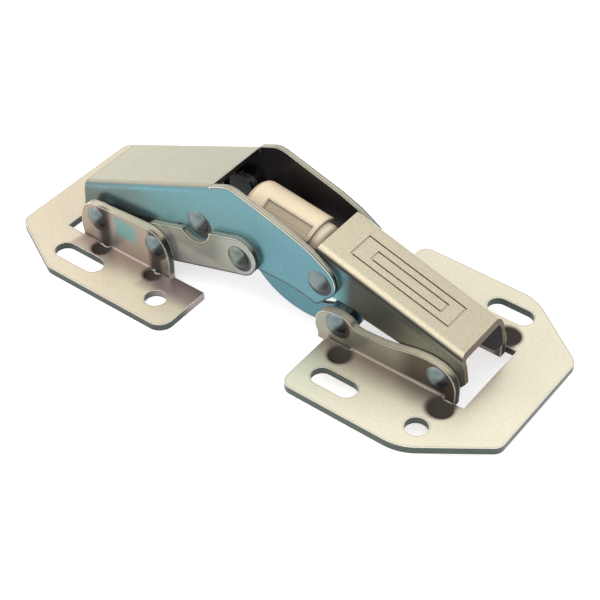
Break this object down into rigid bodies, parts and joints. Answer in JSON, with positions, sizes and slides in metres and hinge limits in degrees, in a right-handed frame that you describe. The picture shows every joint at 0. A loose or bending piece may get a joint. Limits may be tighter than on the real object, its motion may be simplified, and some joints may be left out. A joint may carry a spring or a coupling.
{
  "type": "face-mounted spring hinge",
  "caption": "Face-mounted cabinet spring hinge: two C-shaped screw legs joined by a folding channel bridge, label arm, side links and a sprung cartridge.",
  "frame": {"origin": "centre plane, on the cabinet leg's mounting face, in the middle of the strip that closes its window", "axes": "+Z out of the mounting face, +X from the door leg to the cabinet leg, Y across the hinge along the pivots"},
  "size_m": [0.1116, 0.0468, 0.0279],
  "materials": {
    "plated_sheet": "bright zinc plate, faintly warm, satin",
    "link_steel": "bright zinc plate",
    "rivet_steel": "domed rivet heads, plated",
    "washer_steel": "plain plated spacers",
    "sleeve_plastic": "cream moulded sleeve",
    "plunger_plastic": "cream moulded plunger",
    "spring_wire": "drawn spring wire"
  },
  "bodies": {
    "cabinet": {"cabinet_plate": "plated_sheet", "cabinet_front_rivet_near": "rivet_steel", "cabinet_front_rivet_far": "rivet_steel", "cabinet_rear_rivet_near": "rivet_steel", "cabinet_rear_rivet_far": "rivet_steel", "cabinet_spacer_near": "washer_steel", "cabinet_spacer_far": "washer_steel"},
    "arm": {"arm": "plated_sheet"},
    "bridge": {"bridge": "plated_sheet", "bridge_pin": "rivet_steel", "bridge_rear_rivet_near": "rivet_steel", "bridge_rear_rivet_far": "rivet_steel", "bridge_front_rivet_near": "rivet_steel", "bridge_front_rivet_far": "rivet_steel", "spring_sleeve": "sleeve_plastic", "compression_spring": "spring_wire"},
    "plunger": {"spring_plunger": "plunger_plastic"},
    "outer_links": {"outer_link_near": "link_steel", "outer_link_far": "link_steel"},
    "door": {"door_plate": "plated_sheet", "door_outer_rivet_near": "rivet_steel", "door_outer_rivet_far": "rivet_steel", "door_inner_rivet_near": "rivet_steel", "door_inner_rivet_far": "rivet_steel", "door_spacer_near": "washer_steel", "door_spacer_far": "washer_steel"},
    "inner_links": {"inner_link_near": "link_steel", "inner_link_far": "link_steel"},
    "curved_links": {"curved_link_near": "link_steel", "curved_link_far": "link_steel"}
  },
  "joints": [
    {"name": "bridge_fold", "type": "hinge", "parent": "arm", "child": "bridge", "pos_m": [-0.03785, 0, 0.01345], "axis": [0, 1, 0], "range_deg": [0, 94]},
    {"name": "arm_lift", "type": "hinge", "parent": "cabinet", "child": "arm", "pos_m": [-0.01125, 0, 0.0053], "axis": [0, 1, 0], "range_deg": [0, 2.05]},
    {"name": "outer_link_swing", "type": "hinge", "parent": "bridge", "child": "outer_links", "pos_m": [-0.0552, 0, 0.011], "axis": [0, 1, 0], "range_deg": [-110.3, 0]},
    {"name": "door_turn", "type": "hinge", "parent": "outer_links", "child": "door", "pos_m": [-0.07475, 0, 0.0048], "axis": [0, 1, 0], "range_deg": [0, 104.3]},
    {"name": "inner_link_swing", "type": "hinge", "parent": "door", "child": "inner_links", "pos_m": [-0.0899, 0, 0.0043], "axis": [0, 1, 0], "range_deg": [-86.1, 0]},
    {"name": "curved_link_swing", "type": "hinge", "parent": "cabinet", "child": "curved_links", "pos_m": [-0.03325, 0, 0.00575], "axis": [0, 1, 0], "range_deg": [0, 66.1]},
    {"name": "plunger_slide", "type": "slide", "parent": "bridge", "child": "plunger", "axis": [-0.9895, 0, 0.1448], "range_m": [0, 0.00501], "deforming": ["compression_spring"]}
  ],
  "couplings": [
    {"joint": "arm_lift", "follows": "bridge_fold", "ratio": 0.021277},
    {"joint": "outer_link_swing", "follows": "bridge_fold", "ratio": -1.1702},
    {"joint": "door_turn", "follows": "bridge_fold", "ratio": 1.1064},
    {"joint": "inner_link_swing", "follows": "bridge_fold", "ratio": -0.91277},
    {"joint": "curved_link_swing", "follows": "bridge_fold", "ratio": 0.70106},
    {"joint": "plunger_slide", "follows": "bridge_fold", "m_per_rad": 0.0030476}
  ]
}
